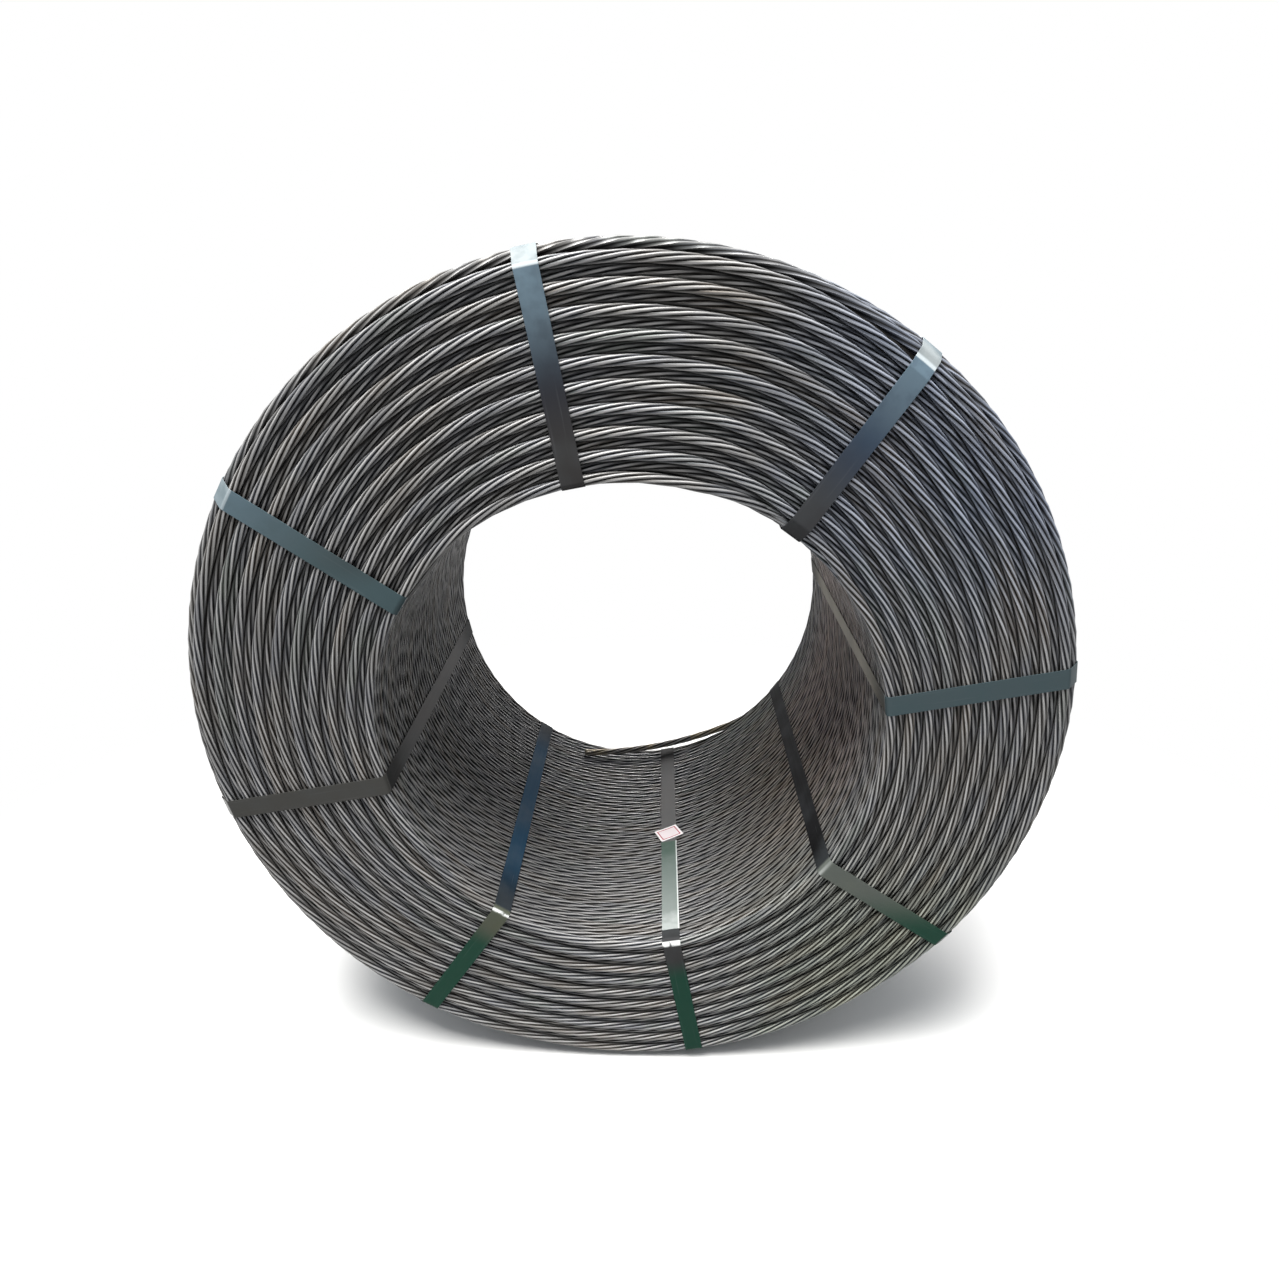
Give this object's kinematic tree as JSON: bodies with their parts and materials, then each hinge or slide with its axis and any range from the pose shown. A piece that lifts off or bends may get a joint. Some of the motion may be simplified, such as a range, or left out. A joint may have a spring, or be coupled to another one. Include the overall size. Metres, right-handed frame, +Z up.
{
  "type": "coil of prestressing strand",
  "caption": "Bare coil of seven-wire prestressing steel strand lying on its side, wound in layers around an open bore and held by flat steel straps, with a small blank tag in the bore.",
  "frame": {"origin": "on the floor, below the middle of the coil", "axes": "+Y along the coil's axis from the front end to the back end, +Z up, +X to the right seen from the front end"},
  "size_m": [1.365, 0.7624, 1.3651],
  "materials": {
    "strand": "drawn wire, dull grey with bright crests",
    "strap": "blue-black lacquered steel, glossy",
    "tag": "matt card with a thin red border"
  },
  "bodies": {
    "root": {"strand_coil": "strand", "loose_end": "strand", "strap_1": "strap", "strap_2": "strap", "strap_3": "strap", "strap_4": "strap", "strap_5": "strap", "strap_6": "strap", "strap_7": "strap", "strap_8": "strap", "tag": "tag"}
  },
  "joints": []
}
